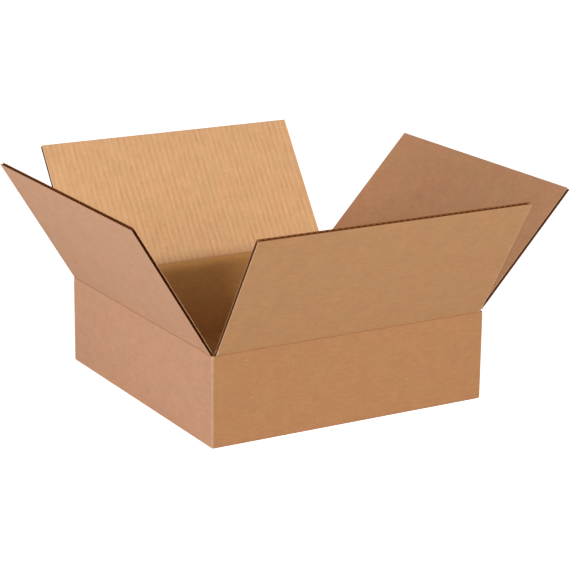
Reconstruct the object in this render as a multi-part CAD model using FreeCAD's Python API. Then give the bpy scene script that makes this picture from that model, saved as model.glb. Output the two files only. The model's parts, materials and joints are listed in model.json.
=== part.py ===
import FreeCAD, Part
import math
import os
from collections import namedtuple
from FreeCAD import Rotation, Vector

# An open corrugated box of the regular slotted kind: one sheet, folded, with four flaps at the top.
# +X points to the right, +Y to the back and +Z up. The origin is the centre of the underside.
# Millimetres and degrees throughout.

# The space inside the box
inside_width = 355.6      # left wall to right wall
inside_depth = 355.6      # front wall to back wall
inside_height = 100.6     # inner floor to the crease of the side flaps

# The board: two flat liners with a wavy sheet between them
board = 4.0
liner = 0.3
flute_pitch = 7.9         # from one wave to the next
flute_crest = 1.7         # width of the band where a wave is glued to its liner
flute_root = 0.9          # width of a flute at its narrow side
wave_thickness = 0.25
flute_depth = 25.0        # how far the open flutes are cut in from a flap's free edge
side_opening = 2.2        # how far the liners stand past the last wave at a flap's cut side

# Folds, cuts and gaps
fold_radius = 3.0         # outside of the upright and bottom folds
slot_width = 9.5          # the cut at each corner, between two neighbouring flaps
slot_clearance = 0.3      # a wall's crease runs this far past its flap at each end
seam_gap = 0.5            # between two facing flaps that are closed
crease_gap = 0.2          # on each side of a flap's hinge line
flap_clearance = 0.3      # between the inner and the outer flaps when all are closed

# The tab that joins the ends of the sheet, glued inside the right wall at the back corner
tab_width = 35.0
tab_top_gap = 10.0        # from the tab's top to the crease
tab_bottom_gap = 4.0      # from the inner floor to the tab
tab_slant = 9.0           # how much each end of the tab slopes over its width
joint_gap = 1.0           # the slit between the right wall's cut edge and the back wall

# How far each flap leans out from upright, and where every flap stops
lean_left = 31.7
lean_right = 42.7
lean_front = 31.1
lean_back = 35.2
open_limit = 115.0        # out and down from upright
closed_limit = 90.0       # in from upright

# Sizes that follow from these
outer_width = inside_width + 2 * board
outer_depth = inside_depth + 2 * board
floor_top = 2 * board
side_crease = floor_top + inside_height

# The side flaps fold in first, so they turn on the outer liner. The front and back flaps lie on top of
# them, so they turn on the inner liner, a little higher.
side_hinge_depth = liner
end_hinge_depth = board - liner
end_crease = side_crease + 2 * liner + flap_clearance
slot_floor = side_crease - crease_gap
flap_cut = (min(outer_width, outer_depth) - seam_gap) / 2

# Each side of the box: how far it is turned about Z from the front, how long it is, how far its outer
# face is from the centre, how deep in the board and how high its hinge line lies, and its flap's lean
Side = namedtuple("Side", "turn span distance hinge_depth crease lean")
front = Side(0, outer_width, outer_depth / 2, end_hinge_depth, end_crease, lean_front)
right = Side(90, outer_depth, outer_width / 2, side_hinge_depth, side_crease, lean_right)
back = Side(180, outer_width, outer_depth / 2, end_hinge_depth, end_crease, lean_back)
left = Side(270, outer_depth, outer_width / 2, side_hinge_depth, side_crease, lean_left)


def outer_relief(hinge_depth):
    """How far from its hinge line the outer face starts, so that the flap can swing out to its limit."""
    return crease_gap + hinge_depth * math.tan(math.radians(open_limit / 2))


def inner_relief(hinge_depth):
    """The same for the inner face, so that the flap can close."""
    return crease_gap + (board - hinge_depth) * math.tan(math.radians(closed_limit / 2))


def prism(outline, length):
    """A bar along X, centred, from its outline in Y and Z."""
    corners = [Vector(-length / 2, y, z) for y, z in outline]
    face = Part.Face(Part.makePolygon(corners + [corners[0]]))
    return face.extrude(Vector(length, 0, 0))


def turned(shape, turn):
    """A copy of a shape that was made at the front, turned about Z to its own side."""
    copy = shape.copy()
    copy.rotate(Vector(0, 0, 0), Vector(0, 0, 1), turn)
    return copy


def flute(centre, wide_side, narrow_side, length):
    """The outline of one open flute, across the board at a given height."""
    mouth = (flute_pitch - flute_crest) / 2
    root = flute_root / 2
    corners = [
        Vector(centre - mouth, wide_side, length),
        Vector(centre + mouth, wide_side, length),
        Vector(centre + root, narrow_side, length),
        Vector(centre - root, narrow_side, length),
    ]
    return Part.makePolygon(corners + [corners[0]])


def open_flutes(width, hinge_depth, length):
    """The flutes that show at a free edge, as solids to take out of the flap."""
    outer_side = liner - hinge_depth
    inner_side = board - liner - hinge_depth
    count = int((width - 2 * side_opening - flute_crest) / flute_pitch)
    solids = []
    for number in range(count):
        centre = (number - (count - 1) / 2) * flute_pitch
        outlines = [flute(centre, outer_side, inner_side - wave_thickness, length)]
        if number < count - 1:
            next_wave = centre + flute_pitch / 2
            outlines.append(flute(next_wave, inner_side, outer_side + wave_thickness, length))
        for outline in outlines:
            solids.append(Part.Face(outline).extrude(Vector(0, 0, -flute_depth)))
    return solids


def side_grooves(width, hinge_depth, length):
    """The gap between the liners along both cut sides of a flap."""
    start = max(outer_relief(hinge_depth), inner_relief(hinge_depth)) + liner
    thickness = board - 2 * liner
    grooves = []
    for x in (-width / 2, width / 2 - side_opening):
        corner = Vector(x, liner - hinge_depth, start)
        grooves.append(Part.makeBox(side_opening, thickness, length - start, corner))
    return grooves


def make_flap(side):
    """A top flap in its place. It is made upright at the front, with its hinge line along X at the origin."""
    hinge_depth = side.hinge_depth
    width = side.span - slot_width
    length = flap_cut - hinge_depth
    outer_face = -hinge_depth
    inner_face = board - hinge_depth
    outline = [
        (outer_face, outer_relief(hinge_depth)),
        (0, crease_gap),
        (inner_face, inner_relief(hinge_depth)),
        (inner_face, length),
        (outer_face, length),
    ]
    flap = prism(outline, width)
    flap = flap.cut(open_flutes(width, hinge_depth, length) + side_grooves(width, hinge_depth, length))
    flap.rotate(Vector(0, 0, 0), Vector(1, 0, 0), side.lean)
    flap.translate(Vector(0, hinge_depth - side.distance, side.crease))
    return turned(flap, side.turn)


def wall_top(side):
    """The top of one wall, bevelled on both sides of its hinge line, and the room that it replaces."""
    hinge_depth = side.hinge_depth
    width = side.span - slot_width + 2 * slot_clearance
    foot = side.crease - max(outer_relief(hinge_depth), inner_relief(hinge_depth)) - board
    outline = [
        (0, foot),
        (0, side.crease - outer_relief(hinge_depth)),
        (hinge_depth, side.crease - crease_gap),
        (board, side.crease - inner_relief(hinge_depth)),
        (board, foot),
    ]
    top = prism(outline, width)
    top.translate(Vector(0, -side.distance, 0))
    corner = Vector(-width / 2, -board - side.distance, foot)
    room = Part.makeBox(width, 2 * board, side.crease + board - foot, corner)
    return turned(top, side.turn), turned(room, side.turn)


def bottom_flap(side, underside):
    """One bottom flap, flat, from the middle of its wall's thickness to the seam."""
    width = side.span - slot_width
    start = board / 2
    corner = Vector(-width / 2, start - side.distance, underside)
    return turned(Part.makeBox(width, flap_cut - start, board, corner), side.turn)


def joint_tab():
    """The tab, folded in from the back wall's end and lying on the inside of the right wall."""
    wall = inside_depth / 2
    low = floor_top + tab_bottom_gap
    high = side_crease - tab_top_gap
    x = inside_width / 2 - board
    corners = [
        Vector(x, wall, low),
        Vector(x, wall - tab_width, low + tab_slant),
        Vector(x, wall - tab_width, high - tab_slant),
        Vector(x, wall, high),
    ]
    return Part.Face(Part.makePolygon(corners + [corners[0]])).extrude(Vector(board, 0, 0))


def joint_slit():
    """The slit beside the tab, where the right wall's cut edge stops short of the back corner."""
    corner = Vector(inside_width / 2, inside_depth / 2 - slot_clearance, floor_top)
    return Part.makeBox(2 * board, joint_gap, side_crease, corner)


def make_body():
    """Walls, bottom flaps and tab: everything of the sheet but the top flaps."""
    corner = Vector(-outer_width / 2, -outer_depth / 2, 0)
    block = Part.makeBox(outer_width, outer_depth, slot_floor, corner)
    folds = [edge for edge in block.Edges if edge.BoundBox.ZMin < slot_floor / 2]
    block = block.makeFillet(fold_radius, folds)
    corner = Vector(-inside_width / 2, -inside_depth / 2, 0)
    hollow = Part.makeBox(inside_width, inside_depth, slot_floor, corner)
    body = block.cut(hollow)
    pieces = []
    for side in (front, right, back, left):
        top, room = wall_top(side)
        body = body.cut(room)
        pieces.append(top)
    pieces += [bottom_flap(front, 0), bottom_flap(back, 0)]
    pieces += [bottom_flap(left, board), bottom_flap(right, board)]
    body = body.fuse(pieces).cut(joint_slit())
    return body.fuse(joint_tab()).removeSplitter()


os.makedirs("parts", exist_ok=True)
nodes = {"box_body": make_body()}
for name, side in {"front": front, "right": right, "back": back, "left": left}.items():
    nodes["flap_" + name] = make_flap(side)
    hinge = Vector(0, side.hinge_depth - side.distance, side.crease)
    hinge = Rotation(Vector(0, 0, 1), side.turn).multVec(hinge)
    print(name, "flap, hinge line through", [round(value, 2) for value in hinge])
    print("turns from", round(side.lean - open_limit, 1), "to", round(side.lean + closed_limit, 1))

for name, shape in nodes.items():
    solid = shape.Solids[0]
    print(name, "solids", len(shape.Solids), "valid", solid.isValid(), "volume", round(solid.Volume))
    solid.exportStep("parts/" + name + ".step")
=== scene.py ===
# %% [markdown]
# # An open cardboard box
# This lesson dresses a low shipping box of corrugated board. The box is one plain sheet that was cut,
# pressed along its fold lines, folded up and glued. Its four top flaps stand open. The packed
# model gives the walls, the flaps and their hinge lines, and every piece below is laid over that frame.

# %% The frame and the tools
import json
import math
from collections import namedtuple

import bmesh
import bpy
from mathutils import Euler, Matrix, Vector


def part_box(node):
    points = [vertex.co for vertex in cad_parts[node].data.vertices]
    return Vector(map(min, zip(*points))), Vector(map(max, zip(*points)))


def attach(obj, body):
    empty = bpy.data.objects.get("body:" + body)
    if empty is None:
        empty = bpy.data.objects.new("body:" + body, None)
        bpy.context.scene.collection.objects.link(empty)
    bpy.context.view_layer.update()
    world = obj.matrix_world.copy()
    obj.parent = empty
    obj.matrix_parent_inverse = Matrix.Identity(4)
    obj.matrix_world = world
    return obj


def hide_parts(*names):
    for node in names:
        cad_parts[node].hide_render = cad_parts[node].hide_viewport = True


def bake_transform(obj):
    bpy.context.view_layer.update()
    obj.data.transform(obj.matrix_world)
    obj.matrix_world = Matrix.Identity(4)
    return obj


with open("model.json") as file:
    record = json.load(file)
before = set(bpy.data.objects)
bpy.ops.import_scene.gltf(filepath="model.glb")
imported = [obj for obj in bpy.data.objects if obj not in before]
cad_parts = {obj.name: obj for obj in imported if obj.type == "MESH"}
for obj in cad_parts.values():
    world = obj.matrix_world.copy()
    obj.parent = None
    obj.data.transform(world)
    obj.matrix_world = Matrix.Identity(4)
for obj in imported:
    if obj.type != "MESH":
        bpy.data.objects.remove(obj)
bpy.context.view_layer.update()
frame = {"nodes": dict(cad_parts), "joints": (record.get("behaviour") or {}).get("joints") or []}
print("nodes in the frame:", ", ".join(sorted(frame["nodes"])))

# %% [markdown]
# ## What corrugated board is made of
# Board is three papers glued together: two flat liners and, between them, a sheet pressed into waves. A
# solid slab would look like wood at its cut edges. So all three papers are made, each with its own
# thickness, and the waves then show by themselves wherever the board is cut.

# %% The sizes of the board
MM = 0.001
BOARD = 4.0 * MM           # outer face to inner face
LINER = 0.3 * MM
WAVE_SHEET = 0.25 * MM
PITCH = 7.9 * MM           # from one wave to the next
STEPS_PER_WAVE = 8
OUTER_SAG = 0.035 * MM     # how far a liner sinks between two waves
INNER_SAG = 0.12 * MM
WAVE_SETBACK = 1.6 * MM    # the liners stand this far past the last wave at a flap's cut side

# %% [markdown]
# ## The box and its four sides
# The width of the box comes from the frame, and so does every hinge line. A flap's joint may close it by
# 90 degrees past upright, so the rest of the joint's upper limit is how far the flap leans out now.

# %% The four sides
low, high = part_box("box_body")
SIDE = high.x - low.x
SLOT = 9.5 * MM                 # the cut at each corner, between two flaps
EDGE = (SIDE - SLOT) / 2        # from a flap's middle to its cut side
SEAM = 0.5 * MM                 # between two facing flaps that are closed
FOLD = 3.0 * MM                 # outside radius of the upright and bottom folds
INNER_FOLD = 0.3 * MM           # the same on the inside, where the board is squeezed flat
WALL_TOP = 100.0 * MM           # the walls end here, and the creased strips begin
SLOT_FLOOR = 108.4 * MM
CREASE_LINE = 109.0 * MM        # the walls' paper ends about here and the flaps' begins
STRIP = 9.0 * MM                # how far a creased strip runs up its flap
CLOSED = 90

Side = namedtuple("Side", "name turn hinge_depth crease lean length blank")
TURNS = {"front": 0, "right": 1, "back": -2, "left": -1}
sides = []
for joint in frame["joints"]:
    name = joint["name"].split("_")[0]
    place = Vector(joint["pos_m"])
    hinge_depth = SIDE / 2 - place.xy.length
    lean = math.radians(joint["range_deg"][1] - CLOSED)
    length = (SIDE - SEAM) / 2 - hinge_depth
    sides.append(Side(name, TURNS[name], hinge_depth, place.z, lean, length, TURNS[name] * SIDE))
    print(name, "flap leans out", round(math.degrees(lean), 1), "degrees")

# %% [markdown]
# ## Shader maths as plain Python
# A material for paper mixes many small patterns. Wiring each Math node by hand hides the idea, so a small
# class wraps a socket and lets it be added and multiplied. Every other node comes from one method.

# %% A wire that can be added and multiplied
class Wire:
    """An output socket, with the operators that the materials below use."""

    def __init__(self, tree, socket):
        self.tree = tree
        self.socket = socket

    def math(self, operation, first, second):
        return self.tree.node("ShaderNodeMath", {"operation": operation}, {0: first, 1: second})

    def __add__(self, other):
        return self.math("ADD", self, other)

    def __radd__(self, other):
        return self.math("ADD", other, self)

    def __sub__(self, other):
        return self.math("SUBTRACT", self, other)

    def __rsub__(self, other):
        return self.math("SUBTRACT", other, self)

    def __mul__(self, other):
        return self.math("MULTIPLY", self, other)

    def __rmul__(self, other):
        return self.math("MULTIPLY", other, self)

    def between(self, start, end):
        """0 where the value is at start, 1 where it is at end, and smooth in between."""
        settings = {"interpolation_type": "SMOOTHSTEP"}
        values = {"Value": self, "From Min": start, "From Max": end}
        return self.tree.node("ShaderNodeMapRange", settings, values)


class Tree:
    """The nodes of one material or of the world."""

    def __init__(self, owner):
        owner.use_nodes = True
        self.nodes = owner.node_tree.nodes
        self.links = owner.node_tree.links
        self.nodes.clear()

    def node(self, kind, settings=None, values=None, output=0):
        made = self.nodes.new(kind)
        for name, setting in (settings or {}).items():
            setattr(made, name, setting)
        for socket, value in (values or {}).items():
            if isinstance(value, Wire):
                self.links.new(value.socket, made.inputs[socket])
            else:
                made.inputs[socket].default_value = value
        return Wire(self, made.outputs[output] if made.outputs else None)

    def mix(self, factor, first, second):
        """A colour between two colours."""
        return self.node("ShaderNodeMix", {"data_type": "RGBA"}, {0: factor, 6: first, 7: second}, output=2)

    def tint(self, colour, factors):
        """A colour with each channel multiplied by its own factor."""
        return self.node("ShaderNodeVectorMath", {"operation": "MULTIPLY"}, {0: colour, 1: factors})

    def lighter(self, colour, factor):
        """A colour, lighter above a factor of 1 and darker below it."""
        return self.node("ShaderNodeVectorMath", {"operation": "SCALE"}, {0: colour, "Scale": factor})


def shade(red, green, blue):
    """A colour as it is seen, 0 to 255, turned into the linear numbers that a shader takes."""
    seen = [channel / 255 for channel in (red, green, blue)]
    linear = [part / 12.92 if part < 0.04045 else ((part + 0.055) / 1.055) ** 2.4 for part in seen]
    return (*linear, 1)


def scaled(colour, factor):
    """The same colour, lighter or darker."""
    return (*[min(part * factor, 1) for part in colour[:3]], 1)

# %% [markdown]
# ## Kraft paper
# Brown paper is never one flat colour. Its pulp is cloudy, its fibres lie along the roll, darker and paler
# flecks float in it, and it is scuffed paler where it is cut or folded, with painted highlights and shade
# there.
# The patterns could be laid on the finished shape, but then they would break at each fold. So each point
# keeps its place on the flat blank in an attribute, and the patterns read that. The same place also tells the
# wall from the flap above it, and the outer paper from the inner one, so one material dresses a whole side of
# the box.

# %% The paper of the liners
MILLIMETRE = 1000          # the blank is kept in metres, and the patterns are set in millimetres
PALE_FIBRE_AND_HIGHLIGHT = shade(236, 205, 168)


def kraft_paper(name, flap_colour, wall_colour, inner_colour, rib_shading):
    """Brown liner paper. The last argument sets the painted shade and highlight of the washboard on its inner
    side.
    """
    material = bpy.data.materials.new(name)
    tree = Tree(material)
    blank = tree.node("ShaderNodeAttribute", {"attribute_name": "blank"}, output=1)
    wear_and_painted_light = tree.node("ShaderNodeAttribute", {"attribute_name": "wear_and_painted_light"}, output=2)
    u, v, depth = [tree.node("ShaderNodeSeparateXYZ", {}, {0: blank}, output=number) for number in range(3)]

    def stretched(across, along, offset=0):
        """The blank in millimetres, squeezed so that a round pattern turns into a long one."""
        factors = (MILLIMETRE * across, MILLIMETRE * along, MILLIMETRE)
        placed = tree.node("ShaderNodeVectorMath", {"operation": "MULTIPLY"}, {0: blank, 1: factors})
        return tree.node("ShaderNodeVectorMath", {"operation": "ADD"}, {0: placed, 1: (offset, offset, 0)})

    def noise(vector, scale, detail, roughness=0.55):
        values = {"Vector": vector, "Scale": scale, "Detail": detail, "Roughness": roughness}
        return tree.node("ShaderNodeTexNoise", {}, values) - 0.5

    def flecks(spacing, size, place):
        """Short fibres that lie scattered over the paper, spacing and size in millimetres."""
        cells = tree.node("ShaderNodeTexVoronoi", {}, {"Vector": place, "Scale": 1 / spacing})
        return 1 - cells.between(size / spacing * 0.3, size / spacing)

    # Which paper this is: outside or inside, and on the wall or on the flap.
    inside = depth.between(0.4 * BOARD, 0.6 * BOARD)
    on_flap = v.between(CREASE_LINE - 0.6 * MM, CREASE_LINE + 0.6 * MM)
    # The walls' inner paper is deeper in colour than the flaps': painted shade for the inside of the box. On
    # the front and back the outer wall paper is a darker copy of the flaps': painted shade.
    inner_paper = tree.mix(on_flap, SHADED_INNER_WALL, inner_colour)
    paper = tree.mix(inside, tree.mix(on_flap, wall_colour, flap_colour), inner_paper)
    hue = noise(stretched(0.5, 0.5), 0.045, 2).between(-0.15, 0.2)
    paper = tree.mix(hue * 0.6, paper, tree.tint(paper, (1.03, 0.955, 0.985)))

    # From the largest pattern to the smallest: clouds of pulp, mottling, fibres and grain.
    cloud = noise(stretched(0.7, 1), 0.055, 3)
    mottle = noise(stretched(0.4, 1.1), 0.24, 3)
    fibre = noise(stretched(0.45, 1.5), 0.8, 4, 0.65)
    grain = noise(stretched(1, 1), 2.2, 2)
    streak = noise(stretched(1, 0.16), 0.4, 4)
    broken = noise(stretched(1, 0.35), 0.12, 3)
    # The liners' own thickness is brown where a flap was cut, and pale only along its faces.
    cut = depth.between(0.15 * MM, LINER) * (1 - depth.between(3.65 * MM, 3.85 * MM))
    cut = cut * v.between(CREASE_LINE + 6 * MM, CREASE_LINE + 9 * MM)
    # Painted shade and highlight of the washboard: the inner liner is paler where a wave touches it and
    # darker in between, in broken stretches, most on the back flap.
    wander = noise(stretched(0.6, 0.6), 0.08, 1) * (3 * MM)
    wave = tree.node("ShaderNodeMath", {"operation": "COSINE"}, {0: (u + wander) * (2 * math.pi / PITCH)})

    painted_ribs = inside * on_flap * rib_shading
    tone = cloud * 0.18 + (mottle * 0.27 + fibre * 0.4) * (1 - painted_ribs * 0.7) + grain * 0.2
    tone = tone + streak * 0.05 + (streak * 0.34 - wave * (broken * 1.6 + 0.4) * 0.17) * painted_ribs
    tone = tone - flecks(15, 0.9, stretched(0.4, 1)) * 0.3 - flecks(6, 0.5, stretched(0.6, 1, 31)) * 0.2
    tone = tone - flecks(14, 0.8, stretched(1, 0.4, 77)) * 0.2
    paper = tree.lighter(paper, tone + 1)
    paper = tree.mix(cut, paper, tree.tint(paper, (0.62, 0.42, 0.28)))
    strokes = flecks(10, 0.8, stretched(0.35, 1, 57)) + flecks(11, 0.8, stretched(1, 0.35, 91))
    paper = tree.mix(strokes * 0.2, paper, PALE_FIBRE_AND_HIGHLIGHT)
    # Above 0 the attribute pales the paper: scuffed fibres, and painted highlights on the cut sides and
    # folds.
    paper = tree.mix(wear_and_painted_light.between(0, 1) * (0.55 + fibre * 2) * (1 - cut), paper, PALE_FIBRE_AND_HIGHLIGHT)
    # Below 0 it darkens the paper: painted shade in the creases, along the free edges and towards the bottom
    # folds.
    paper = tree.mix((0 - wear_and_painted_light).between(0, 1), paper, tree.tint(paper, (0.6, 0.38, 0.22)))

    relief = fibre * 0.6 + grain * 0.4
    bump = tree.node("ShaderNodeBump", {}, {"Height": relief, "Strength": 0.4, "Distance": 0.15 * MM})
    rough = 0.86 + fibre * 0.16
    values = {"Base Color": paper, "Roughness": rough, "Normal": bump, "Specular IOR Level": 0.25}
    surface = tree.node("ShaderNodeBsdfPrincipled", {}, values)
    tree.node("ShaderNodeOutputMaterial", {}, {"Surface": surface})
    return material


def wave_paper(name, colour):
    """The darker, rougher paper between the liners."""
    material = bpy.data.materials.new(name)
    tree = Tree(material)
    blank = tree.node("ShaderNodeAttribute", {"attribute_name": "blank"}, output=1)
    factors = (MILLIMETRE, MILLIMETRE * 0.5, MILLIMETRE)
    vector = tree.node("ShaderNodeVectorMath", {"operation": "MULTIPLY"}, {0: blank, 1: factors})
    grain = tree.node("ShaderNodeTexNoise", {}, {"Vector": vector, "Scale": 0.9, "Detail": 3})
    paper = tree.mix(grain.between(0.3, 0.7), scaled(colour, 0.8), scaled(colour, 1.15))
    bump = tree.node("ShaderNodeBump", {}, {"Height": grain, "Strength": 0.3, "Distance": 0.1 * MM})
    values = {"Base Color": paper, "Roughness": 0.85 + grain * 0.1, "Normal": bump, "Specular IOR Level": 0.2}
    surface = tree.node("ShaderNodeBsdfPrincipled", {}, values)
    tree.node("ShaderNodeOutputMaterial", {}, {"Surface": surface})
    return material


# The front and back papers are tinted yellow and the left and right ones rosy. This is painted light: the
# colour of the light on faces that look to the front and on faces that look to the left.
FRONT_LIT_YELLOW_KRAFT = shade(180, 136, 94)
# A darker copy of the flaps' paper, for the front and back walls: painted shade.
SHADED_ORANGE_WALL = shade(171, 124, 83)
LEFT_LIT_ROSY_KRAFT = shade(190, 147, 117)
LEFT_LIT_ROSY_WALL = shade(191, 146, 116)
FRONT_LIT_INNER_KRAFT = shade(216, 169, 121)
LEFT_LIT_INNER_ROSY = shade(214, 160, 118)
# Deeper than the flaps' inner paper: painted shade for the inside of the box.
SHADED_INNER_WALL = shade(214, 160, 94)
finish = {
    "front": kraft_paper("kraft_front", FRONT_LIT_YELLOW_KRAFT, SHADED_ORANGE_WALL, FRONT_LIT_INNER_KRAFT, 0.6),
    "back": kraft_paper("kraft_back", FRONT_LIT_YELLOW_KRAFT, SHADED_ORANGE_WALL, FRONT_LIT_INNER_KRAFT, 0.75),
    "left": kraft_paper("kraft_left", LEFT_LIT_ROSY_KRAFT, LEFT_LIT_ROSY_WALL, LEFT_LIT_INNER_ROSY, 0.3),
    "right": kraft_paper("kraft_right", LEFT_LIT_ROSY_KRAFT, LEFT_LIT_ROSY_WALL, LEFT_LIT_INNER_ROSY, 0.15),
}
fluting = wave_paper("fluting_paper", shade(124, 74, 36))
print("papers:", ", ".join([material.name for material in finish.values()] + [fluting.name]))

# %% [markdown]
# ## Laying the board flat
# The real box starts as a flat blank, and that is also the easy way to model it. A layer is a grid on the
# blank: u runs along the four walls, v runs up and d goes in from the outer face. The grid's rows and
# columns are moved where they are needed, the layer gets its thickness, and only then is it folded.

# %% A layer of the flat board
def spread(start, end, steps):
    """Evenly spaced places from start to end."""
    return [start + (end - start) * step / steps for step in range(steps + 1)]


def columns_for(start, end):
    """Columns close enough together to draw every wave."""
    return spread(start, end, max(round((end - start) / PITCH * STEPS_PER_WAVE), 2))


def flat_layer(patches, depth_at, thickness):
    """One paper of the board. Patches are pairs of columns and rows that meet edge to edge."""
    bm = bmesh.new()
    for columns, rows in patches:
        across, along = len(columns) - 1, len(rows) - 1
        made = bmesh.ops.create_grid(bm, x_segments=across, y_segments=along, size=0.5)
        for vert in made["verts"]:
            column = round((vert.co.x + 0.5) * across)
            row = round((vert.co.y + 0.5) * along)
            vert.co = (columns[column], rows[row], 0)
    bmesh.ops.remove_doubles(bm, verts=bm.verts[:], dist=0.01 * MM)
    for vert in bm.verts:
        vert.co.z = depth_at(vert.co.x, vert.co.y)
    bmesh.ops.solidify(bm, geom=bm.faces[:], thickness=-thickness)
    mesh = bpy.data.meshes.new("layer")
    bm.to_mesh(mesh)
    bm.free()
    return mesh

# %% [markdown]
# ## The surface of the board
# Between two waves the liner sinks a little, which gives the faint washboard on the back flap. Near a crease
# and at a cut edge the board was pressed, so the washboard fades there and the board gets thinner. These
# functions say how deep each paper lies at a place on the blank.

# %% How deep each paper lies
OUTER_PRESS = 0.3 * MM         # depth of the pressed line on the outside of a crease
INNER_PRESS = 0.4 * MM
PRESS_WIDTH = 1.5 * MM
TRIM_PRESS = 0.14 * MM         # how much the knife squeezes a cut edge from each side
TRIM_WIDTH = 1.2 * MM
WASHBOARD = {"front": 0.8, "back": 0.7, "left": 0.5, "right": 0.35}


def smooth(value):
    """0 below 0, 1 above 1, and smooth in between."""
    value = min(max(value, 0), 1)
    return value * value * (3 - 2 * value)


def washboard(u):
    """1 on a wave that touches the outer liner, 0 on one that touches the inner liner."""
    return (1 + math.cos(2 * math.pi * u / PITCH)) / 2


class Profile:
    """The depths of the three papers of one piece of board."""

    def __init__(self, crease, free_edge, sag=1):
        self.crease = crease
        self.free_edge = free_edge
        self.sag = sag

    def fade(self, v):
        """The washboard is full here at 1, and flat at 0."""
        return self.sag * smooth((abs(v - self.crease) - 11 * MM) / (16 * MM))

    def pressed(self, v):
        return math.exp(-((v - self.crease) / PRESS_WIDTH) ** 2)

    def trimmed(self, v):
        return TRIM_PRESS * math.exp(-abs(self.free_edge - v) / TRIM_WIDTH)

    def outer(self, u, v):
        sag = OUTER_SAG * (1 - washboard(u)) * self.fade(v)
        return sag + OUTER_PRESS * self.pressed(v) + self.trimmed(v)

    def inner(self, u, v):
        sag = INNER_SAG * washboard(u) * self.fade(v)
        return BOARD - LINER - sag - INNER_PRESS * self.pressed(v) - self.trimmed(v)

    def waves(self, u, v):
        first = self.outer(u, v) + LINER
        last = self.inner(u, v) - WAVE_SHEET
        return last + (first - last) * washboard(u)

# %% [markdown]
# ## Folding
# A fold is a function that takes a point of the flat blank to its place on the box. Each face could be
# turned into place by hand, but one function for the walls and one for the creases keep every neighbour
# flush. The place on the blank, and the wear with its painted highlights and shade, are written down first,
# while everything is still flat.

# %% Folding a flat piece and finishing it
SHARP = math.radians(35)


def fold_up(name, layers, fold, wear_and_shading, finishes, body=None):
    """Joins flat layers, keeps their place on the blank, folds them and makes them an object."""
    bm = bmesh.new()
    counts = []
    for layer in layers:
        bm.from_mesh(layer)
        counts.append(len(bm.faces))
        bpy.data.meshes.remove(layer)
    blank = bm.verts.layers.float_vector.new("blank")
    # Scuffed wear and painted light: paler with painted highlights above 0, darker with painted shade below
    # 0.
    wear_and_painted_light = bm.verts.layers.float.new("wear_and_painted_light")
    bm.faces.ensure_lookup_table()
    for face in bm.faces:
        layer = next(number for number, count in enumerate(counts) if face.index < count)
        centre = face.calc_center_median()
        face.material_index = finishes(layer, centre)
        face.smooth = True
    for vert in bm.verts:
        u, v, d = vert.co
        vert[blank] = vert.co
        vert[wear_and_painted_light] = wear_and_shading(u, v, d)
        vert.co = fold(u, v, d)
    bmesh.ops.recalc_face_normals(bm, faces=bm.faces[:])
    for edge in bm.edges:
        edge.smooth = edge.is_manifold and edge.calc_face_angle() < SHARP
    mesh = bpy.data.meshes.new(name)
    bm.to_mesh(mesh)
    bm.free()
    piece = bpy.data.objects.new(name, mesh)
    bpy.context.scene.collection.objects.link(piece)
    if body:
        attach(piece, body)
    print(name, "has", sum(len(face.vertices) - 2 for face in mesh.polygons), "triangles")
    return piece


def at_side(turn, x, y, z):
    """A point made at the front, taken round to its own side."""
    angle = turn * math.pi / 2
    return Vector((x * math.cos(angle) - y * math.sin(angle), x * math.sin(angle) + y * math.cos(angle), z))

# %% [markdown]
# ## The four walls
# The walls are one long strip that goes round the box, with a rounded fold at each corner and another at
# the bottom. At the corners the strip rises as a small column between two slots, and there the cut ends of
# the waves show. The strip ends at the glued joint, where a narrow slit is left.

# %% Wrapping the wall strip round the box
SLIT_START = SIDE / 2 - 4.3 * MM      # the right wall's cut edge, from the wall's middle
SLIT_END = SIDE / 2 - 3.3 * MM        # where the back wall's corner begins


def wrap(u, v, d):
    """Takes the wall strip round the box. Below 0, v runs in under the bottom."""
    turn = round(u / SIDE)
    x = u - turn * SIDE
    z = v
    if v < FOLD:
        roll = min((FOLD - v) / FOLD, 1) * math.pi / 2
        z = FOLD - (FOLD - d) * math.sin(roll)
        d = FOLD - (FOLD - d) * math.cos(roll) - min(v, 0)
    half = SIDE / 2 - d
    radius = max(FOLD - d, INNER_FOLD)
    if abs(x) <= EDGE or half <= EDGE:
        return at_side(turn, min(max(x, -half), half), -half, z)
    straight = half - radius - EDGE
    along = (abs(x) - EDGE) / (SIDE / 2 - EDGE) * (straight + radius * math.pi / 4)
    angle = max(along - straight, 0) / radius
    x_here = EDGE + min(along, straight) + radius * math.sin(angle)
    y_here = -half + radius * (1 - math.cos(angle))
    return at_side(turn, math.copysign(x_here, x), y_here, z)


def wall_patches(foot):
    """The strip as patches: four wide ones for the walls and narrow ones, higher, for the corners."""
    patches = []
    wall_rows = foot + spread(14 * MM, WALL_TOP, 7)
    corner_rows = wall_rows + [SLOT_FLOOR]
    for side in sides:
        patches.append((columns_for(side.blank - EDGE, side.blank + EDGE), wall_rows))
    for corner in (-1.5 * SIDE, -0.5 * SIDE, 0.5 * SIDE):
        patches.append((spread(corner - SLOT / 2, corner + SLOT / 2, 12), corner_rows))
    patches.append((spread(SIDE + EDGE, SIDE + SLIT_START, 1), corner_rows))
    patches.append((spread(-3 * SIDE + SLIT_END, -2.5 * SIDE, 4), corner_rows))
    patches.append((spread(-2.5 * SIDE, -2 * SIDE - EDGE, 6), corner_rows))
    return patches


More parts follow.
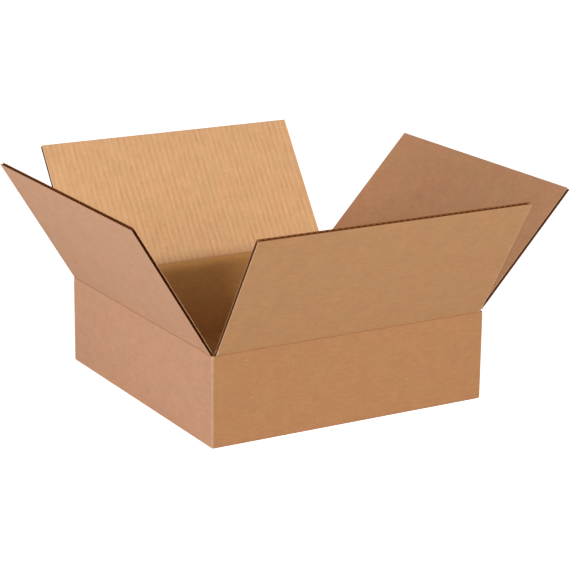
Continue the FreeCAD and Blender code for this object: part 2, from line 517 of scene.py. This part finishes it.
def wall_wear_and_highlight(u, v, d):
    """Pale where the board is folded, along the corners and the bottom: scuffed paper with a painted
    highlight.
    """
    to_corner = SIDE / 2 - abs(u - round(u / SIDE) * SIDE)
    outside = d < BOARD / 2
    corner = math.exp(-(to_corner / (1.7 * MM)) ** 2) if outside else 0
    foot = 0.2 * math.exp(-((v - 1.5 * MM) / (1.5 * MM)) ** 2)
    top = 0.15 * math.exp(-(SLOT_FLOOR - v) / (0.8 * MM)) if v > WALL_TOP else 0
    return 0.38 * corner + foot + top


SIDE_NAMES = {turn % 4: name for name, turn in TURNS.items()}
all_papers = [finish[SIDE_NAMES[turn]] for turn in range(4)] + [fluting]


def wall_finish(layer, centre):
    """Each wall gets its side's paper, whose tint is painted light, and the waves get theirs."""
    return 4 if layer == 1 else round(centre.x / SIDE) % 4


walls = Profile(crease=SLOT_FLOOR, free_edge=2 * SLOT_FLOOR, sag=0.4)
roll_rows = [-1 * MM] + spread(0, FOLD, 5) + [BOARD]
layers = [
    flat_layer(wall_patches(roll_rows), walls.outer, LINER),
    flat_layer(wall_patches([BOARD]), walls.waves, WAVE_SHEET),
    flat_layer(wall_patches([BOARD]), walls.inner, LINER),
]
shell = fold_up("wall_strip", layers, wrap, wall_wear_and_highlight, wall_finish, "carton")
for material in all_papers:
    shell.data.materials.append(material)
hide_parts("box_body")

# %% [markdown]
# ## The bottom
# Four flaps close the bottom. The left and right ones are folded in first and lie inside, and the front and
# back ones lie under them and meet in the middle. Each is a piece of the same board, so each is made by the
# same flat layers and laid down by a shorter fold.

# %% The bottom flaps
def flap_layers(profile, centre, rows, wave_rows):
    """The three papers of a flap, with the waves set back at its cut sides."""
    liner_columns = columns_for(centre - EDGE, centre + EDGE)
    wave_columns = columns_for(centre - EDGE + WAVE_SETBACK, centre + EDGE - WAVE_SETBACK)
    return [
        flat_layer([(liner_columns, rows)], profile.outer, LINER),
        flat_layer([(wave_columns, wave_rows)], profile.waves, WAVE_SHEET),
        flat_layer([(liner_columns, rows)], profile.inner, LINER),
    ]


def liner_or_wave(layer, centre):
    return 1 if layer == 1 else 0


def dress(piece, side):
    """The side's paper, tinted with painted light, and the fluting, in the order that the layers use."""
    piece.data.materials.append(finish[side.name])
    piece.data.materials.append(fluting)


def edge_fuzz_and_painted_light(side, free_edge):
    """A function that pales a flap's cut sides, fuzz and painted highlight, and paints shade on its free
    edge.
    """
    def wear_and_shading(u, v, d):
        to_side = EDGE - abs(u - side.blank)
        to_end = abs(free_edge - v)
        return 0.8 * math.exp(-to_side / (0.7 * MM)) - 0.9 * math.exp(-to_end / (0.4 * MM))
    return wear_and_shading


def bottom_edges_and_shade(side, free_edge):
    """A function like the one for the top flaps' edges, weaker, that also paints shade towards the fold with
    the wall.
    """
    trim = edge_fuzz_and_painted_light(side, free_edge)

    def wear_and_shading(u, v, d):
        return 0.4 * trim(u, v, d) - 0.45 * math.exp(v / (70 * MM))
    return wear_and_shading


def bottom_fold(side, underside):
    """A function that lays a bottom flap down, its outer face below."""
    def fold(u, v, d):
        return at_side(side.turn, u - side.blank, BOARD - SIDE / 2 - v, underside + d)
    return fold


for side in sides:
    reach = (SIDE - SEAM) / 2 - BOARD
    rows = [-reach, -reach + 1 * MM, -reach + 5 * MM] + spread(-reach * 0.8, 0, 4)
    profile = Profile(crease=0, free_edge=-reach)
    layers = flap_layers(profile, side.blank, rows, [rows[0], rows[3], 0])
    underside = 0 if side.name in ("front", "back") else BOARD
    wear_and_shading = bottom_edges_and_shade(side, -reach)
    fold = bottom_fold(side, underside)
    piece = fold_up("bottom_flap_" + side.name, layers, fold, wear_and_shading, liner_or_wave, "carton")
    dress(piece, side)

# %% [markdown]
# ## The joint tab
# The ends of the strip are held together by a narrow tab. It is the end of the back wall, folded in and
# glued to the inside of the right wall, and its ends are cut at a slant so that they don't catch.

# %% The tab
TAB_WIDTH = 35 * MM
TAB_LOW = 12 * MM
TAB_HIGH = 98.6 * MM
TAB_SLANT = 9 * MM
tab_start = -2.5 * SIDE
tab_middle = (TAB_LOW + TAB_HIGH) / 2


def tab_fold(u, v, d):
    """Lays the tab against the right wall, narrower towards its free side."""
    out = tab_start - u
    narrowing = 1 - TAB_SLANT * 2 / (TAB_HIGH - TAB_LOW) * out / TAB_WIDTH
    inner_face = SIDE / 2 - BOARD
    return Vector((inner_face - d, inner_face - out, tab_middle + (v - tab_middle) * narrowing))


def tab_wear(u, v, d):
    to_end = min(v - TAB_LOW, TAB_HIGH - v, TAB_WIDTH - (tab_start - u))
    return 0.85 * math.exp(-to_end / (0.7 * MM))


tab_rows = [TAB_LOW, TAB_LOW + 1 * MM] + spread(TAB_LOW + 10 * MM, TAB_HIGH - 10 * MM, 4)
tab_rows += [TAB_HIGH - 1 * MM, TAB_HIGH]
tab_columns = columns_for(tab_start - TAB_WIDTH, tab_start)
tab_profile = Profile(crease=2 * SIDE, free_edge=3 * SIDE, sag=0.6)
layers = [
    flat_layer([(tab_columns, tab_rows)], tab_profile.outer, LINER),
    flat_layer([(tab_columns, [TAB_LOW, TAB_HIGH])], tab_profile.waves, WAVE_SHEET),
    flat_layer([(tab_columns, tab_rows)], tab_profile.inner, LINER),
]
tab = fold_up("joint_tab", layers, tab_fold, tab_wear, liner_or_wave, "carton")
tab.data.materials.append(finish["back"])
tab.data.materials.append(fluting)

# %% [markdown]
# ## The top flaps and their creases
# A flap turns on its crease, a line pressed into the board. Beyond a few millimetres from that line the
# board stays stiff, so a flap is a rigid panel that rides on its own body, and the pressed strip between the
# wall and the panel bends from one to the other. Both use one fold, so they meet flush.

# %% The fold of a top flap
BEND = 3.0 * MM                # half the height of the zone that bends


def crease_fold(side):
    """A function that stands a point on the wall, or on the leaning flap above the crease."""
    def fold(u, v, d):
        rise = v - side.crease
        depth = d - side.hinge_depth
        angle = side.lean * smooth((rise + BEND) / (2 * BEND))
        y = side.hinge_depth - SIDE / 2 - rise * math.sin(angle) + depth * math.cos(angle)
        z = side.crease + rise * math.cos(angle) + depth * math.sin(angle)
        return at_side(side.turn, u - side.blank, y, z)
    return fold

# %% The flap panels
for side in sides:
    free_edge = side.crease + side.length
    rows = spread(side.crease + STRIP, free_edge - 10 * MM, 10)
    rows += [free_edge - 4 * MM, free_edge - 2 * MM, free_edge - 1 * MM, free_edge - 0.4 * MM, free_edge]
    wave_rows = [rows[0], rows[5], free_edge - 4 * MM, free_edge - 1 * MM, free_edge - 0.4 * MM]
    profile = Profile(side.crease, free_edge, WASHBOARD[side.name])
    layers = flap_layers(profile, side.blank, rows, wave_rows)
    wear_and_shading = edge_fuzz_and_painted_light(side, free_edge)
    body = side.name + "_flap"
    panel = fold_up("panel_" + side.name, layers, crease_fold(side), wear_and_shading, liner_or_wave, body)
    dress(panel, side)
    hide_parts("flap_" + side.name)

# %% [markdown]
# ## The creased strips
# The strip runs from the top of the wall, over the crease and a little way up the flap. It has many rows
# close to the crease, because it rolls there from the wall onto the flap, and only a few columns, because
# pressing the crease has flattened the waves.

# %% The strips
def crease_press_and_shade(side):
    """A function that darkens the pressed line, pressed paper and painted shade, and pales the cut sides
    above it.
    """
    def wear_and_shading(u, v, d):
        to_side = EDGE - abs(u - side.blank)
        trim = 0.8 * math.exp(-to_side / (0.7 * MM)) * smooth((v - side.crease) / (3 * MM))
        # The pale cut sides are fuzz with a painted highlight.
        line = math.exp(-((v - side.crease) / (1.5 * MM)) ** 2)
        return trim - 0.5 * line
    return wear_and_shading


for side in sides:
    bottom = WALL_TOP
    top = side.crease + STRIP
    near = 4 * MM
    rows = spread(bottom, side.crease - near, 3)[:-1] + spread(side.crease - near, side.crease + near, 18)
    rows += spread(side.crease + near, top, 3)[1:]
    profile = Profile(side.crease, 2 * SIDE)
    liner_columns = spread(side.blank - EDGE, side.blank + EDGE, 90)
    wave_columns = columns_for(side.blank - EDGE + WAVE_SETBACK, side.blank + EDGE - WAVE_SETBACK)
    layers = [
        flat_layer([(liner_columns, rows)], profile.outer, LINER),
        flat_layer([(wave_columns, rows[::3])], profile.waves, WAVE_SHEET),
        flat_layer([(liner_columns, rows)], profile.inner, LINER),
    ]
    strip = fold_up("crease_" + side.name, layers, crease_fold(side), crease_press_and_shade(side), liner_or_wave)
    dress(strip, side)
    half_lean = side.lean / 2
    hinge = at_side(side.turn, 0, side.hinge_depth - SIDE / 2, side.crease)
    reach = at_side(side.turn, 0, -math.sin(half_lean), math.cos(half_lean)) * BEND
    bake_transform(strip)

# %% [markdown]
# ## The stage
# The floor is a plain pale sheet. What the camera sees of it is white by itself, so that it runs into the
# background, and it still takes the soft shadow of the box. Everything else sees a plain pale floor, which
# sends light up under the leaning flaps.

# %% Floor and backdrop
FLOOR_SIZE = 16.0
FLOOR_GLOW = 0.92
pale = shade(226, 224, 220)
white = (1, 1, 1, 1)


def seen_directly(tree):
    """1 for what the camera sees, straight or in a gloss or through glass, and 0 for scattered light."""
    path = tree.nodes.new("ShaderNodeLightPath")
    names = ("Is Camera Ray", "Is Glossy Ray", "Is Transmission Ray")
    rays = [Wire(tree, path.outputs[name]) for name in names]
    total = rays[0] + rays[1] + rays[2]
    return tree.node("ShaderNodeMath", {"operation": "MINIMUM"}, {0: total, 1: 1.0})


def make_floor():
    bm = bmesh.new()
    bmesh.ops.create_grid(bm, x_segments=1, y_segments=1, size=FLOOR_SIZE / 2)
    bmesh.ops.translate(bm, verts=bm.verts[:], vec=(0, 0, -0.1 * MM))
    mesh = bpy.data.meshes.new("floor")
    bm.to_mesh(mesh)
    bm.free()
    floor = bpy.data.objects.new("floor", mesh)
    bpy.context.scene.collection.objects.link(floor)
    material = bpy.data.materials.new("pale_floor")
    tree = Tree(material)
    plain = tree.node("ShaderNodeBsdfDiffuse", {}, {"Color": pale})
    glow = tree.node("ShaderNodeEmission", {}, {"Color": white, "Strength": FLOOR_GLOW})
    seen = tree.node("ShaderNodeAddShader", {}, {0: glow, 1: plain})
    surface = tree.node("ShaderNodeMixShader", {}, {0: seen_directly(tree), 1: plain, 2: seen})
    tree.node("ShaderNodeOutputMaterial", {}, {"Surface": surface})
    floor.data.materials.append(material)


def make_world(strength):
    world = bpy.data.worlds.new("studio")
    bpy.context.scene.world = world
    tree = Tree(world)
    room = tree.node("ShaderNodeBackground", {}, {"Color": white, "Strength": strength})
    backdrop = tree.node("ShaderNodeBackground", {}, {"Color": white, "Strength": 1.0})
    surface = tree.node("ShaderNodeMixShader", {}, {0: seen_directly(tree), 1: room, 2: backdrop})
    tree.node("ShaderNodeOutputWorld", {}, {"Surface": surface})


make_floor()
make_world(0.1)

# %% [markdown]
# ## Soft studio light
# A long, low lamp stands in front. Its light passes just over the edge of the front flap, so it reaches the
# back flap and a narrow band of the wall below it, and leaves the rest of the inside in shade. A softer lamp
# above it spreads the end of that band, and two at the left light the left side and fill the front.

# %% The lamps
def lamp(name, azimuth, elevation, distance, width, height, power):
    """A soft lamp that points at the box. Azimuth 0 is in front of it and 90 is to its right."""
    turn, tilt = math.radians(azimuth), math.radians(elevation)
    away = Vector((math.sin(turn) * math.cos(tilt), -math.cos(turn) * math.cos(tilt), math.sin(tilt)))
    light = bpy.data.lights.new(name, "AREA")
    light.shape = "RECTANGLE"
    light.size = width
    light.size_y = height
    light.energy = power
    thing = bpy.data.objects.new(name, light)
    thing.location = Vector((0, 0, 0.1)) + away * distance
    thing.rotation_euler = away.to_track_quat("Z", "Y").to_euler()
    bpy.context.scene.collection.objects.link(thing)


lamp("key", 12, 19.2, 5.0, 1.4, 0.25, 164)
lamp("front_high", 8, 27, 5.0, 1.4, 1.0, 42)
lamp("left_high", -85, 20, 3.0, 0.8, 0.8, 31)
lamp("left_low", -95, 3, 2.2, 1.0, 0.8, 19)

# %% [markdown]
# ## The camera
# The camera stands to the front left and looks down at the box through a long lens, as in a catalogue
# picture. Its place and its angles were found by matching the edges of the box.

# %% The camera
YAW, PITCH_DOWN, ROLL = 30.388, 16.141, 0.652
camera_data = bpy.data.cameras.new("camera")
camera_data.lens = 132.86
camera_data.clip_end = 100
camera = bpy.data.objects.new("camera", camera_data)
camera.location = (-1.2233, -2.1138, 0.8264)
facing = Euler((math.radians(90 - PITCH_DOWN), 0, math.radians(-YAW))).to_matrix()
camera.rotation_euler = (facing @ Matrix.Rotation(math.radians(ROLL), 3, "Z")).to_euler()
bpy.context.scene.collection.objects.link(camera)
bpy.context.scene.camera = camera
bpy.context.scene.view_settings.view_transform = "Standard"
